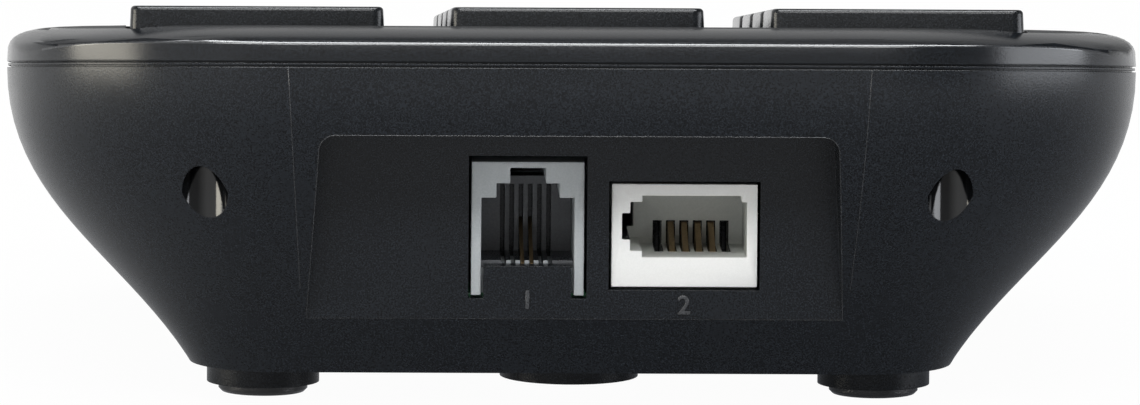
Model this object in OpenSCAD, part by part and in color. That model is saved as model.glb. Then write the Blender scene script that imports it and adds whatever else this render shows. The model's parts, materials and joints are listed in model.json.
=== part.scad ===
// Big-button desk dialler: a wedge-shaped case with a telephone line jack and an extension socket at
// the rear, and a pad of large dial keys on the sloped top.
// The table is z = 0, the rear is +Y, the user sits at -Y. All sizes are in millimetres.

/* [Case] */
// Width of the case at the seam
body_w = 125; // [116:1:150]
// Depth of the case along the sloped top, front to rear
body_d = 125; // [120:1:150]
// Corner radius of the case in plan, at the seam
corner_r = 30; // [27:0.5:31]
// Fall of the top towards the front, in degrees
tilt = 7.3; // [5:0.1:8]
// Height of the seam above the table at the rear edge
seam_rear_h = 40.7; // [39.5:0.1:46]
// Height of the flat underside above the table
base_h = 4.4; // [4:0.1:5.5]
// Wall thickness of both shells
wall_t = 2.2; // [1.8:0.1:2.6]
// How far the wall has drawn in at the end of its curve
wall_in = 22; // [16:0.1:22.4]
// Depth of the wall curve below the seam
wall_depth = 35.2; // [34:0.1:42]

/* [Top cover] */
// Height of the flat deck above the seam
cover_h = 4.15; // [4:0.05:6]
// Thickness of the deck round the keys
deck_t = 2; // [1.6:0.1:2.4]
// Upright rim at the rear and front, below the crease
rim_rear_h = 2.3; // [1.5:0.1:2.8]
// Upright rim at the sides
rim_side_h = 0.3; // [0.3:0.1:1]
// Width of the rounded shoulder at the rear and front
shoulder_rear = 8; // [6:0.5:9]
// Width of the rounded shoulder at the sides
shoulder_side = 13; // [10:0.5:13]
// How square the side shoulder's curve is, where 2 is an ellipse
shoulder_square = 4; // [2:0.5:5]
// Height of each of the two shadow grooves at the seam
groove_h = 0.2; // [0.1:0.05:0.4]
// Depth of the shadow grooves
groove_in = 0.4; // [0.2:0.05:0.6]
// Height of the lip between the two grooves
lip_h = 0.25; // [0.15:0.05:0.5]

/* [Keys] */
// Distance from each side of the case to the keys
side_margin = 13.5; // [13:0.5:16]
// Distance from the rear edge of the case to the keys
rear_margin = 10; // [9.5:0.5:12]
// Distance from the front edge of the case to the keys
front_margin = 14.5; // [10:0.5:20]
// Gap between key columns
column_gap = 7; // [6.5:0.5:9]
// Gap between key rows
row_gap = 5.5; // [4:0.5:8]
// Height of a key above the deck
key_proud = 2.1; // [1.6:0.05:3]
// Corner radius of a key in plan
key_r = 1.3; // [0.6:0.1:3]
// Draft of a key's sides from the deck to its top
key_draft = 0.2; // [0.1:0.05:0.5]
// Bevel round a key's top
key_bevel = 0.3; // [0.1:0.05:0.5]
// Travel of a key
key_travel = 1.3; // [0.8:0.1:1.5]
// Clearance between a key and its opening, each side
key_gap = 0.35; // [0.2:0.05:0.5]
// Width of the flange that keeps a key in the cover
flange_w = 1; // [0.8:0.1:1.1]

/* [Boards] */
// Thickness of both circuit boards
board_t = 1.6; // [1:0.1:2]
// Thickness of the rubber mat's sheet
mat_t = 1.2; // [0.8:0.1:1.5]
// Diameter of a rubber dome
dome_d = 9; // [8:0.5:9]
// Shank diameter of the small screws
small_screw_d = 2; // [1.6:0.1:2.2]

/* [Jack panel] */
// Width of the recess at its top
recess_w = 56.6; // [52:0.2:60]
// Extra width of the recess at its foot
recess_flare = 2.4; // [0:0.2:4]
// Drop of the recess's ceiling below the seam's rear edge
recess_drop = 7.9; // [7:0.1:9]
// Height of the recess
recess_h = 21.8; // [21:0.1:22.5]
// Radius of the recess's upper corners
recess_r = 1.8; // [0.8:0.1:4]
// Distance from the rear edge of the seam to the panel's face
panel_in = 13; // [11:0.1:14]
// Clearance of a jack in its panel hole, each side
jack_gap = 0.3; // [0.2:0.05:0.5]
// Clearance above the line jack
line_top_gap = 0.65; // [0.3:0.05:0.8]

/* [Line jack] */
// Place of the line jack across the panel
line_x = 5.2; // [4:0.1:8]
// Width of the line jack's face
line_w = 12.4; // [12:0.1:13]
// Height of the line jack's face
line_h = 14.8; // [14:0.1:15]
// Width of the plug opening
line_open_w = 10.2; // [9.8:0.1:10.4]
// Height of the plug opening below its steps
line_open_h = 7.2; // [6.6:0.1:7.4]
// Length of the line jack's housing
line_len = 15; // [14:0.5:17]

/* [Extension socket] */
// Place of the extension socket across the panel
tel_x = -12; // [-14:0.1:-11.5]
// Width of the extension socket's face
tel_w = 16; // [15.5:0.1:16.5]
// Height of the extension socket's face
tel_h = 11.4; // [11:0.1:12]
// Width of the plug opening, without the latch notch
tel_open_w = 11.5; // [11:0.1:11.6]
// Height of the plug opening
tel_open_h = 6.8; // [6.4:0.1:7.2]
// Length of the extension socket's housing
tel_len = 18; // [16:0.5:19]

/* [Feet and case screws] */
// Half the distance between left and right feet
foot_x = 34; // [28:0.5:36]
// Distance from the rear edge to the rear feet
foot_in_rear = 33; // [32:0.5:36]
// Distance from the front edge to the front feet
foot_in_front = 24; // [23:0.5:30]
// Diameter of a foot's moulded collar
collar_d = 12.5; // [11:0.5:14]
// Diameter of a rubber foot
foot_d = 9.9; // [8:0.1:10.4]
// How far a rubber foot stands out of its collar
foot_proud = 1.1; // [0.8:0.1:1.6]
// How far the round boss between the rear feet stands out of the underside
boss_proud = 2.4; // [1:0.1:3]
// Diameter of that boss
boss_d = 15.4; // [12:0.2:18]
// Distance from each side to the case screws
screw_side_in = 21.9; // [20:0.1:24]
// Distance from the rear and front edges to the case screws
screw_in = 6; // [5.8:0.1:6.6]
// Width of the oval well of a case screw
well_w = 5.3; // [5:0.1:5.6]
// Depth of that well, front to rear
well_d = 3.9; // [3.8:0.1:4.4]
// Shank diameter of a case screw
case_screw_d = 2.6; // [2.2:0.1:3]

/* [Hidden] */
$fn = 48;

// Shared clearances
fit_gap = 0.05;
seat_gap = 0.3;
cut_over = 1;

// The deck frame: x across, y up the slope to the rear, z square to the sloped top, 0 at the seam
deck_h = seam_rear_h - body_d / 2 * sin(tilt);
rear_y = body_d / 2 * cos(tilt);
panel_y = rear_y - panel_in;
recess_z1 = seam_rear_h - recess_drop;
recess_z0 = recess_z1 - recess_h;

// Wall curve: one cubic from the seam, upright at first and drawn in towards the underside
wall_steps = 22;
wall_upright = 16;
wall_turn = [15.2, 21.7];
function wall_at(t) = 3 * t * (1 - t) ^ 2 * [0, wall_upright] + 3 * t ^ 2 * (1 - t) * wall_turn
    + t ^ 3 * [wall_in, wall_depth];
// Points are kept to a micron, so that the straight walls and the round corners share their edges
function micron(v) = round(v * 1000) / 1000;
// Past its end the wall runs on straight, so that it always reaches the underside
wall_reach = 6;
wall_slope = (wall_in - wall_turn.x) / (wall_depth - wall_turn.y);
wall_end = [wall_in + wall_slope * wall_reach, wall_depth + wall_reach];
function wall_curve(extra) = [for (i = [0 : wall_steps + 1])
    let (p = i > wall_steps ? wall_end : wall_at(i / wall_steps)) [micron(p.x + extra), micron(-p.y)]];

// Seam: groove in the cover, lip, groove in the shell
lip_z = -lip_h;
groove_z = lip_z - groove_h;
lip_in = 0.1;
ceiling_z = cover_h - deck_t;
pocket_r = 20;

// Keys and what lies under them
columns = 3;
rows = 4;
key_w = (body_w - 2 * side_margin - (columns - 1) * column_gap) / columns;
key_d = (body_d - rear_margin - front_margin - (rows - 1) * row_gap) / rows;
key_pitch_x = key_w + column_gap;
key_pitch_y = key_d + row_gap;
key_top_z = cover_h + key_proud;
flange_t = 1;
flange_r = 4;
flange_z = ceiling_z - seat_gap - flange_t;
key_wall = 1.5;
key_skin = 1.8;
plunger_d = 7;
mat_z = flange_z - key_travel - seat_gap;
board_z = mat_z - mat_t;
board_under_z = board_z - board_t;
dome_gap = 0.15;
pad_y = body_d / 2 - rear_margin - key_d / 2;
function column_x(c) = (c - (columns - 1) / 2) * key_pitch_x;
function row_y(r) = pad_y - r * key_pitch_y;
KEYS = [["key_1", 0, 0], ["key_2", 1, 0], ["key_3", 2, 0], ["key_4", 0, 1], ["key_5", 1, 1], ["key_6", 2, 1],
    ["key_7", 0, 2], ["key_8", 1, 2], ["key_9", 2, 2], ["key_star", 0, 3], ["key_0", 1, 3], ["key_hash", 2, 3]];
board_edge = 5.8;
board_w = (columns - 1) * key_pitch_x + key_w + 2 * flange_w;
board_len = (rows - 1) * key_pitch_y + key_d - 2 * board_edge;
board_y = (row_y(0) + row_y(rows - 1)) / 2;
BOARD_SCREWS = [for (sx = [-1, 1], r = [0 : rows - 2]) [sx * key_pitch_x / 2, (row_y(r) + row_y(r + 1)) / 2]];
boss_screw_d = 3.8;
small_head_d = 3.6;
small_head_t = 1.2;
board_bite = 3;

// Jacks, measured up from the jack board
board_rise = 2.5;
jack_board_z = recess_z0 + board_rise;
face_in = 0.3;
face_y = panel_y - face_in;
behind_y = panel_y - wall_t - seat_gap;
jack_back_t = 2;
line_z1 = jack_board_z + line_h;
line_floor = 3.6;
line_open_z = jack_board_z + line_floor;
line_step = [6.9, 1.6];
line_latch = [3.9, 1.7];
line_depth = line_len - jack_back_t;
line_ways = 6;
line_pitch = 1.02;
slot_w = 0.5;
comb_t = 3;
comb_floor_t = 0.8;
comb_low = 0.45;
comb_h = line_open_h + line_step.y - comb_low;
slot_top = 0.9;
line_wires = [2 : 3];
tel_rise = 1;
tel_floor = 3.3;
tel_z = jack_board_z + tel_rise;
tel_open_z = tel_z + tel_floor;
tel_notch = [1.3, 5.4];
tel_latch = [2.2, 2.9];
tel_open_x = -1.1;
tel_depth = 11;
tel_ways = 6;
tel_pitch = 1.48;
tel_slot_w = 0.75;
tel_slot_h = 2.5;
tel_slot_run = 6.2;
tel_slot_in = 2.5;
tel_slot_sink = 1.5;
tel_front_t = 1.5;
tel_step = [0.6, 1.7];
contact_ways = [1 : 4];
jack_screw_room = 6.7;
jack_screw_y = face_y - tel_len - jack_screw_room;
jack_screw_in = 5;
jack_edge = 4;
jack_board_side = [2, 2.6];
jack_board_front = jack_screw_y - jack_edge;
jack_board_x0 = tel_x - tel_w / 2 - jack_board_side[0];
jack_board_x1 = line_x + line_w / 2 + jack_board_side[1];
JACK_SCREWS = [[jack_board_x0 + jack_screw_in, jack_screw_y], [jack_board_x1 - jack_screw_in, jack_screw_y]];
post_d = 5.5;
floor_z = base_h + wall_t;

// Feet and case screws
foot_y_rear = rear_y - foot_in_rear;
foot_y_front = foot_in_front - rear_y;
boss_back = 1;
boss_y = foot_y_rear + boss_back;
collar_z = foot_proud;
foot_seat = 2;
FEET = [["rear_left_foot", -1, foot_y_rear], ["rear_right_foot", 1, foot_y_rear],
    ["front_left_foot", -1, foot_y_front], ["front_right_foot", 1, foot_y_front]];
screw_x = body_w / 2 - screw_side_in;
screw_y = body_d / 2 - screw_in;
tube_wall = 1.4;
ledge_z = -3;
ledge_t = 1.5;
// An oval well lies along the case's outline, which turns at the corners
well_turn = atan2(max(0, screw_x - body_w / 2 + corner_r), screw_y - body_d / 2 + corner_r);
CASE_SCREWS = [for (sx = [-1, 1], sy = [-1, 1]) [sx * screw_x, sy * screw_y]];
case_boss_d = 4.6;
boss_sink = 0.3;
head_gap = 0.2;
case_head_d = well_d - 2 * head_gap;
case_head_t = 1.6;
case_bite = 5;

SHELL_BLACK = [0.07, 0.07, 0.08];
KEY_BLACK = [0.05, 0.05, 0.055];

module on_deck() {
    translate([0, 0, deck_h]) rotate([tilt, 0, 0]) children();
}

module rounded_rect(w, d, r) {
    square([w - 2 * r, d], center = true);
    square([w, d - 2 * r], center = true);
    for (sx = [-1, 1], sy = [-1, 1]) translate([sx * (w / 2 - r), sy * (d / 2 - r)]) circle(r);
}

// A solid swept round the case's plan: outline is a list of [inset, z], from its top to its foot
module swept_body(outline) {
    last = len(outline) - 1;
    module section(half) {
        polygon(concat([for (p = outline) [half - p.x, p.y]],
            [for (i = [last : -1 : 0]) [outline[i].x - half, outline[i].y]]));
    }
    rotate([90, 0, 0]) linear_extrude(body_d - 2 * corner_r, center = true) section(body_w / 2);
    rotate([90, 0, 90]) linear_extrude(body_w - 2 * corner_r, center = true) section(body_d / 2);
    for (q = [0 : 3]) {
        sx = q == 0 || q == 3 ? 1 : -1;
        sy = q < 2 ? 1 : -1;
        translate([sx * (body_w / 2 - corner_r), sy * (body_d / 2 - corner_r), 0]) rotate([0, 0, 90 * q])
            rotate_extrude(angle = 90) polygon(concat([[0, outline[0].y]],
                [for (p = outline) [corner_r - p.x, p.y]], [[0, outline[last].y]]));
    }
}

// Everything below height z, to be cut away
module below(z) {
    translate([-body_w, -body_d, z - 2 * seam_rear_h]) cube([2 * body_w, 2 * body_d, 2 * seam_rear_h]);
}

module shell_outside() {
    difference() {
        on_deck() swept_body(concat([[lip_in, 0], [lip_in, lip_z], [groove_in, lip_z], [groove_in, groove_z]],
            [for (p = wall_curve(0)) [p.x, p.y + groove_z]]));
        below(base_h);
    }
}

module shell_inside() {
    difference() {
        on_deck() swept_body(concat([[wall_t, cut_over]], wall_curve(wall_t)));
        below(floor_z);
    }
}

// The recess's outline seen from behind, grown by a margin
module recess_outline(grow) {
    half1 = recess_w / 2 + grow;
    half0 = half1 + recess_flare / 2;
    r = recess_r + grow;
    polygon([[-half0, recess_z0 - cut_over - grow], [half0, recess_z0 - cut_over - grow],
        [half1, recess_z1 + grow - r], [half1 - r, recess_z1 + grow], [r - half1, recess_z1 + grow],
        [-half1, recess_z1 + grow - r]]);
    for (sx = [-1, 1]) translate([sx * (half1 - r), recess_z1 + grow - r]) circle(r);
}

module from_behind(y0, y1) {
    translate([0, y1, 0]) rotate([90, 0, 0]) linear_extrude(y1 - y0) children();
}

module line_face(grow, above) {
    difference() {
        translate([line_x - line_w / 2 - grow, jack_board_z - grow])
            square([line_w + 2 * grow, line_h + grow + above]);
        translate([line_x - line_open_w / 2 + grow, 0]) square([line_open_w - 2 * grow, line_open_z - grow]);
    }
}

module tel_face(grow) {
    translate([tel_x - tel_w / 2 - grow, tel_z - grow]) square([tel_w + 2 * grow, tel_h + 2 * grow]);
}

// An oval well: the lens that two shifted cylinders share
module screw_well(h) {
    side_r = (well_w ^ 2 + well_d ^ 2) / (4 * well_d);
    shift = side_r - well_d / 2;
    intersection() {
        translate([0, shift, 0]) cylinder(r = side_r, h = h);
        translate([0, -shift, 0]) cylinder(r = side_r, h = h);
    }
}

module lower_shell() color(SHELL_BLACK) difference() {
    union() {
        difference() {
            shell_outside();
            shell_inside();
        }
        intersection() {
            shell_outside();
            union() {
                from_behind(panel_y - wall_t, rear_y + cut_over) recess_outline(wall_t);
                on_deck() for (p = CASE_SCREWS) translate([p.x, p.y, ledge_z - wall_depth])
                    cylinder(d = well_w + 2 * tube_wall, h = wall_depth);
            }
        }
        for (f = FEET) translate([f[1] * foot_x, f[2], collar_z])
            cylinder(d = collar_d, h = floor_z - collar_z);
        translate([0, boss_y, base_h - boss_proud]) cylinder(d = boss_d, h = wall_t + boss_proud);
        for (p = JACK_SCREWS) translate([p.x, p.y, base_h])
            cylinder(d = post_d, h = jack_board_z - board_t - base_h);
    }
    from_behind(panel_y, rear_y + 2 * cut_over) recess_outline(0);
    from_behind(panel_y - wall_t - cut_over, panel_y + cut_over) line_face(jack_gap, line_top_gap);
    from_behind(panel_y - wall_t - cut_over, panel_y + cut_over) tel_face(jack_gap);
    on_deck() for (p = CASE_SCREWS) translate([p.x, p.y, ledge_z - ledge_t]) {
        translate([0, 0, -wall_depth]) rotate([0, 0, -sign(p.x * p.y) * well_turn]) screw_well(wall_depth);
        cylinder(d = case_screw_d + 2 * fit_gap, h = ledge_t + cut_over);
    }
    for (f = FEET) translate([f[1] * foot_x, f[2], collar_z - cut_over])
        cylinder(d = foot_d + 2 * fit_gap, h = foot_seat + cut_over);
    for (p = JACK_SCREWS) translate([p.x, p.y, jack_board_z - board_t - board_bite - seat_gap])
        cylinder(d = small_screw_d + 2 * fit_gap, h = board_bite + seat_gap + cut_over);
}

// Outer skin of the cover: rings of points round the plan, whose rim and shoulder change from the
// creased rear and front to the rounded sides
ring_steps = 15;
shoulder_steps = 10;
RING = [for (q = [0 : 3], i = [0 : ring_steps]) 90 * q + 90 * i / ring_steps];
ring_n = len(RING);
function blend(a, b, w) = a + (b - a) * w;
function ring_point(k, a, q) = let (
    sx = q == 0 || q == 3 ? 1 : -1,
    sy = q < 2 ? 1 : -1,
    side = cos(a) ^ 6,
    power = 2 / shoulder_square,
    rim = blend(rim_rear_h, rim_side_h, side),
    phi = 90 * (k - 3) / shoulder_steps,
    reach = blend(shoulder_rear, shoulder_side, side),
    rise = blend(sin(phi) ^ 2, sin(phi) ^ power, side),
    fall = blend(cos(phi), cos(phi) ^ power, side),
    inset = k < 2 ? groove_in : k < 4 ? 0 : reach * (1 - fall),
    z = k == 0 ? 0 : k < 3 ? groove_h : rim + (cover_h - rim) * (k < 4 ? 0 : rise))
    [sx * (body_w / 2 - corner_r) + (corner_r - inset) * cos(a),
     sy * (body_d / 2 - corner_r) + (corner_r - inset) * sin(a), z];

module cover_skin() {
    rings = 4 + shoulder_steps;
    points = [for (k = [0 : rings - 1], j = [0 : ring_n - 1])
        ring_point(k, RING[j], floor(j / (ring_steps + 1)))];
    sides = [for (k = [0 : rings - 2], j = [0 : ring_n - 1]) let (a = k * ring_n + j,
        b = k * ring_n + (j + 1) % ring_n) each [[a, a + ring_n, b], [b, a + ring_n, b + ring_n]]];
    polyhedron(points, concat([[for (j = [0 : ring_n - 1]) j]],
        [[for (j = [ring_n - 1 : -1 : 0]) (rings - 1) * ring_n + j]], sides));
}

module top_cover() color(SHELL_BLACK) on_deck() difference() {
    union() {
        difference() {
            cover_skin();
            translate([0, 0, -cut_over]) linear_extrude(cut_over + rim_side_h)
                rounded_rect(body_w - 2 * wall_t, body_d - 2 * wall_t, corner_r - wall_t);
            translate([0, 0, -cut_over]) linear_extrude(cut_over + ceiling_z)
                rounded_rect(body_w - shoulder_side, body_d - shoulder_rear, pocket_r);
        }
        for (p = BOARD_SCREWS) translate([p.x, p.y, board_z])
            cylinder(d = boss_screw_d, h = ceiling_z + boss_sink - board_z);
        for (p = CASE_SCREWS) translate([p.x, p.y, ledge_z])
            cylinder(d = case_boss_d, h = ceiling_z + boss_sink - ledge_z);
    }
    for (k = KEYS) translate([column_x(k[1]), row_y(k[2]), 0]) linear_extrude(cover_h + cut_over)
        rounded_rect(key_w + 2 * key_gap, key_d + 2 * key_gap, key_r + key_gap);
    for (p = BOARD_SCREWS) translate([p.x, p.y, board_z - cut_over])
        cylinder(d = small_screw_d + 2 * fit_gap, h = board_bite + cut_over);
    for (p = CASE_SCREWS) translate([p.x, p.y, ledge_z - cut_over])
        cylinder(d = case_screw_d + 2 * fit_gap, h = case_bite + cut_over);
}

module key_slab(shrink, z, t, r = key_r) {
    translate([0, 0, z]) linear_extrude(t) rounded_rect(key_w - 2 * shrink, key_d - 2 * shrink, r);
}

module key(c, r) color(KEY_BLACK) on_deck() translate([column_x(c), row_y(r), 0]) {
    thin = 0.01;
    difference() {
        union() {
            key_slab(-flange_w, flange_z, flange_t, flange_r);
            key_slab(0, flange_z, cover_h - flange_z);
            hull() {
                key_slab(0, cover_h - thin, thin, $fn = 32);
                key_slab(key_draft, key_top_z - key_bevel, thin, $fn = 32);
                key_slab(key_draft + key_bevel, key_top_z - thin, thin, $fn = 32);
            }
        }
        key_slab(key_wall, flange_z - cut_over, key_top_z - key_skin - flange_z + cut_over);
    }
    translate([0, 0, flange_z]) cylinder(d = plunger_d, h = key_top_z - key_skin / 2 - flange_z);
}

module key_mat() color([0.75, 0.75, 0.72]) on_deck() {
    dome_top = flange_z - dome_gap;
    dome_skin = 0.8;
    difference() {
        translate([0, board_y, board_z]) linear_extrude(mat_t) square([board_w, board_len], center = true);
        for (p = BOARD_SCREWS) translate([p.x, p.y, board_z - cut_over])
            cylinder(d = boss_screw_d + 2 * seat_gap, h = mat_t + 2 * cut_over);
        for (k = KEYS) translate([column_x(k[1]), row_y(k[2]), board_z - cut_over])
            cylinder(d = dome_d - 2 * dome_skin, h = mat_t + 2 * cut_over);
    }
    for (k = KEYS) translate([column_x(k[1]), row_y(k[2]), 0]) rotate_extrude()
        polygon([[dome_d / 2, mat_z - mat_t / 2], [plunger_d / 2, dome_top], [0, dome_top],
            [0, dome_top - dome_skin], [plunger_d / 2 - dome_skin, dome_top - dome_skin],
            [dome_d / 2 - dome_skin, mat_z - mat_t / 2]]);
}

module key_board() color([0.1, 0.32, 0.2]) on_deck() difference() {
    translate([0, board_y, board_under_z]) linear_extrude(board_t) square([board_w, board_len], center = true);
    for (p = BOARD_SCREWS) translate([p.x, p.y, board_under_z - cut_over])
        cylinder(d = small_screw_d + 4 * fit_gap, h = board_t + 2 * cut_over);
}

module controller_chip() color([0.08, 0.08, 0.09]) on_deck() {
    chip = [12, 8, 2];
    translate([-chip.x / 2, row_y(2) - chip.y / 2, board_under_z - chip.z]) cube(chip);
}

// A pan-head screw standing head down at its seat, shank upwards
module screw(d, head_d, head_t, length) {
    rotate_extrude() polygon([[0, -head_t], [head_d / 2 - head_t / 3, -head_t], [head_d / 2, -head_t / 2],
        [head_d / 2, 0], [d / 2, 0], [d / 2, length - d / 4], [d / 4, length], [0, length]]);
}

module board_screws() color("silver") on_deck() for (p = BOARD_SCREWS) translate([p.x, p.y, board_under_z])
    screw(small_screw_d, small_head_d, small_head_t, board_t + board_bite - seat_gap);

module case_screws() color("silver") on_deck() for (p = CASE_SCREWS) translate([p.x, p.y, ledge_z - ledge_t])
    screw(case_screw_d, case_head_d, case_head_t, ledge_t + case_bite - seat_gap);

module jack_board() color([0.1, 0.32, 0.2]) difference() {
    translate([jack_board_x0, jack_board_front, jack_board_z - board_t])
        cube([jack_board_x1 - jack_board_x0, behind_y - jack_board_front, board_t]);
    for (p = JACK_SCREWS) translate([p.x, p.y, jack_board_z - board_t - cut_over])
        cylinder(d = small_screw_d + 4 * fit_gap, h = board_t + 2 * cut_over);
}

module jack_board_screws() color("silver") for (p = JACK_SCREWS) translate([p.x, p.y, jack_board_z])
    mirror([0, 0, 1]) screw(small_screw_d, small_head_d, small_head_t, board_t + board_bite);

// Flat cable between the two boards, with a slack bend in the middle
module link_ribbon() color([0.6, 0.6, 0.62]) {
    ribbon_w = 10;
    ribbon_t = 0.8;
    ribbon_in = 2;
    ribbon_y = jack_board_front + ribbon_in;
    bend = 6;
    top_z = deck_h + ribbon_y * tan(tilt) + board_under_z / cos(tilt) - seat_gap;
    mid_z = (jack_board_z + top_z) / 2;
    translate([-ribbon_w / 2, 0, 0]) rotate([90, 0, 90]) linear_extrude(ribbon_w)
        polygon([[ribbon_y, jack_board_z], [ribbon_y + ribbon_t, jack_board_z],
            [ribbon_y + ribbon_t - bend, mid_z], [ribbon_y + ribbon_t, top_z],
            [ribbon_y, top_z], [ribbon_y - bend, mid_z]]);
}

module line_jack() color([0.55, 0.56, 0.57]) difference() {
    union() {
        from_behind(face_y - line_len, behind_y)
            translate([line_x - line_w / 2, jack_board_z]) square([line_w, line_h]);
        from_behind(behind_y, face_y) line_face(0, 0);
    }
    from_behind(face_y - line_depth, face_y + cut_over) {
        translate([line_x - line_open_w / 2, line_open_z]) square([line_open_w, line_open_h]);
        translate([line_x - line_step.x / 2, line_open_z]) square([line_step.x, line_open_h + line_step.y]);
        translate([line_x - line_latch.x / 2, line_open_z])
            square([line_latch.x, line_open_h + line_step.y + line_latch.y]);
    }
    from_behind(face_y - line_depth, behind_y + cut_over)
        translate([line_x - line_open_w / 2, line_open_z - comb_floor_t])
            square([line_open_w, 2 * comb_floor_t]);
    from_behind(face_y - line_len - cut_over, face_y)
        translate([line_x - line_latch.x / 2, line_open_z + comb_h])
            square([line_latch.x, line_latch.y + comb_low]);
}

// Black insert of the line jack: a slotted floor and, at the back, a slotted comb that keeps the wires apart
module line_contact_block() color(SHELL_BLACK) {
    y0 = face_y - line_depth;
    wide = line_open_w - 2 * fit_gap;
    narrow = line_step.x - 2 * fit_gap;
    z0 = line_open_z - comb_floor_t;
    difference() {
        union() {
            translate([line_x - wide / 2, y0, z0]) cube([wide, behind_y - y0, comb_floor_t]);
            translate([line_x - wide / 2, y0, z0]) cube([wide, comb_t, comb_floor_t + line_open_h - fit_gap]);
            translate([line_x - narrow / 2, y0, z0]) cube([narrow, comb_t, comb_floor_t + comb_h]);
        }
        for (i = [0 : line_ways - 1]) translate([line_x + (i - (line_ways - 1) / 2) * line_pitch - slot_w / 2,
            y0 + comb_t / 2, z0 - cut_over])
            cube([slot_w, behind_y - y0, cut_over + comb_floor_t + comb_h - slot_top]);
    }
}

// Spring wires that rise from the front of the floor into the comb
module line_contacts() color("gold") for (i = line_wires) {
    y0 = face_y - line_depth + comb_t / 2 + fit_gap;
    y1 = behind_y - seat_gap;
    z0 = line_open_z - comb_floor_t + fit_gap;
    z1 = line_open_z + line_open_h / 2;
    wire = slot_w - 2 * fit_gap;
    translate([line_x + (i - (line_ways - 1) / 2) * line_pitch - wire / 2, 0, 0])
        rotate([90, 0, 90]) linear_extrude(wire) polygon([[y1 - wire, z0], [y1, z0], [y1, z0 + wire],
            [y0 + wire, z1], [y0, z1], [y0, z1 - wire]]);
}

module tel_socket() color([0.93, 0.92, 0.9]) difference() {
    union() {
        from_behind(face_y - tel_len, face_y) tel_face(0);
        translate([tel_x - tel_w / 2, face_y - tel_len, jack_board_z])
            cube([tel_w, behind_y - face_y + tel_len, tel_z - jack_board_z]);
    }
    x0 = tel_x + tel_open_x - tel_open_w / 2;
    x1 = x0 + tel_open_w;
    mid = tel_open_z + tel_open_h / 2;
    from_behind(face_y - tel_depth, face_y + cut_over) {
        translate([x0, tel_open_z]) square([tel_open_w, tel_open_h - tel_step.y]);
        translate([x0 + tel_step.x, tel_open_z]) square([tel_open_w - tel_step.x, tel_open_h]);
        translate([x0, mid - tel_notch.y / 2]) square([tel_open_w + tel_notch.x, tel_notch.y]);
        translate([x0, mid - tel_latch.y / 2]) square([tel_open_w + tel_latch.x, tel_latch.y]);
    }
    from_behind(face_y - tel_len - cut_over, face_y - tel_front_t)
        translate([x1 + tel_notch.x / 2, mid - tel_latch.y / 2]) square([tel_w, tel_latch.y]);
    for (i = [0 : tel_ways - 1]) translate([(x0 + x1 - tel_slot_w) / 2 + (i - (tel_ways - 1) / 2) * tel_pitch,
        face_y - tel_depth, tel_open_z]) {
        translate([0, -tel_slot_in, -tel_slot_sink])
            cube([tel_slot_w, tel_slot_in + cut_over, tel_slot_sink + tel_slot_h]);
        translate([0, 0, -tel_slot_sink]) cube([tel_slot_w, tel_slot_run, tel_slot_sink + cut_over]);
    }
}

// Thin blades whose upper edges rise from the floor to the back wall
module tel_contacts() color([0.72, 0.55, 0.25]) for (i = contact_ways) {
    blade = tel_slot_w - 2 * fit_gap;
    across = tel_x + tel_open_x + (i - (tel_ways - 1) / 2) * tel_pitch;
    translate([across - blade / 2, face_y - tel_depth, tel_open_z])
        rotate([90, 0, 90]) linear_extrude(blade) polygon([[fit_gap - tel_slot_in, fit_gap - tel_slot_sink],
            [tel_slot_run - fit_gap, fit_gap - tel_slot_sink], [tel_slot_run - fit_gap, 0],
            [0, tel_slot_h - fit_gap], [fit_gap - tel_slot_in, tel_slot_h - fit_gap]]);
}

module rubber_foot(side, y) color([0.12, 0.12, 0.12]) translate([side * foot_x, y, 0]) {
    edge = 0.35;
    top = collar_z + foot_seat;
    rotate_extrude() polygon([[0, 0], [foot_d / 2 - edge, 0], [foot_d / 2, edge], [foot_d / 2, top], [0, top]]);
}

top_cover();
lower_shell();
for (k = KEYS) key(k[1], k[2]);
key_mat();
key_board();
controller_chip();
board_screws();
jack_board();
jack_board_screws();
link_ribbon();
line_jack();
line_contact_block();
line_contacts();
tel_socket();
tel_contacts();
case_screws();
for (f = FEET) rubber_foot(f[1], f[2]);
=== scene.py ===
# %% [markdown]
# # A desk dialler with big keys, seen from behind
#
# The object is a wedge-shaped black case with large dial keys on its sloped top. Its rear has a
# recessed panel with a grey line jack and a white extension socket. The measured solids come from a
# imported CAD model, and this lesson gives them their finish: smooth skins, rounded edges, moulded
# plastic, numerals, a camera where the photographer stood, and soft light.

import json
import math

import bpy
from mathutils import Matrix, Vector


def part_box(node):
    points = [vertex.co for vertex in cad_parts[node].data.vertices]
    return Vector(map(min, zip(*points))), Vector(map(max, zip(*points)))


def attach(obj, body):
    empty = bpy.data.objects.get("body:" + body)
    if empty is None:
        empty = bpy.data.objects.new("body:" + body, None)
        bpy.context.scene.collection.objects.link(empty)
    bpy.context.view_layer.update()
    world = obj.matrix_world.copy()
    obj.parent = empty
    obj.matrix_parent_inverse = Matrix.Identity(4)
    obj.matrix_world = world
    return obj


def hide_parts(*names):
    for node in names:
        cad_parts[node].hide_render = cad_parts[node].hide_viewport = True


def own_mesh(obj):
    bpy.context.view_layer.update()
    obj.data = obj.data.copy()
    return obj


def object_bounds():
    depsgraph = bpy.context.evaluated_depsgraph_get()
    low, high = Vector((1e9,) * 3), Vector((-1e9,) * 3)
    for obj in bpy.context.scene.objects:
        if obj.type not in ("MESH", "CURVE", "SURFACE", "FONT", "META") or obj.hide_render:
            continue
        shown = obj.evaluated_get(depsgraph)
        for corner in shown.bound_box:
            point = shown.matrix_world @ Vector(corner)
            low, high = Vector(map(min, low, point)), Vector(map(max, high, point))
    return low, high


MM = 0.001
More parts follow.
